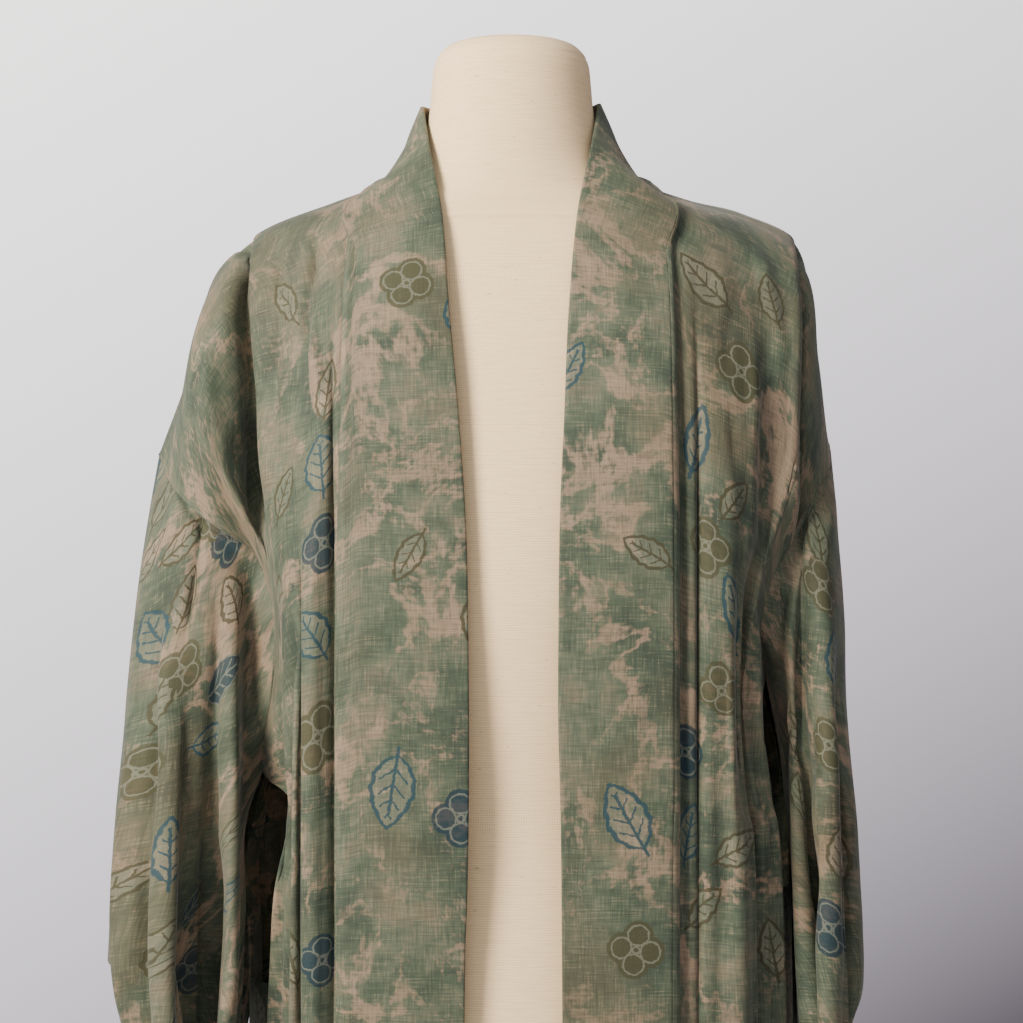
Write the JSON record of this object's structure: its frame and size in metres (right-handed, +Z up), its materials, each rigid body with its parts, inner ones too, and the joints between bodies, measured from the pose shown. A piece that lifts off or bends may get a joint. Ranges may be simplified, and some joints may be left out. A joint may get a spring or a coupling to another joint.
{
  "type": "haori kimono jacket on a limbless dress form",
  "caption": "Loose patterned silk kimono jacket worn open on a cream canvas torso form, with a folded collar band, soft wide sleeves and an upright pole on a round floor base",
  "frame": {"origin": "centre of the underside of the round floor base, on the floor, at the floor_rest face", "axes": "+Z up along the pole; -Y towards the viewer, where the jacket opens; +X to the viewer's right"},
  "size_m": [0.4993, 0.34, 1.49],
  "materials": {
    "kimono_silk": "slubby plain-weave silk in mottled sage, taupe and olive with scattered leaves and blossoms, matt with a faint sheen",
    "form_canvas": "tight cream linen canvas, matt",
    "stand_steel": "brushed tube",
    "stand_base": "grey powder coat"
  },
  "bodies": {
    "root": {"body_left": "kimono_silk", "body_right": "kimono_silk", "sleeve_left": "kimono_silk", "sleeve_right": "kimono_silk", "gore_left": "kimono_silk", "gore_right": "kimono_silk", "collar": "kimono_silk", "form_torso": "form_canvas", "form_pole": "stand_steel", "form_base": "stand_base"}
  },
  "joints": []
}
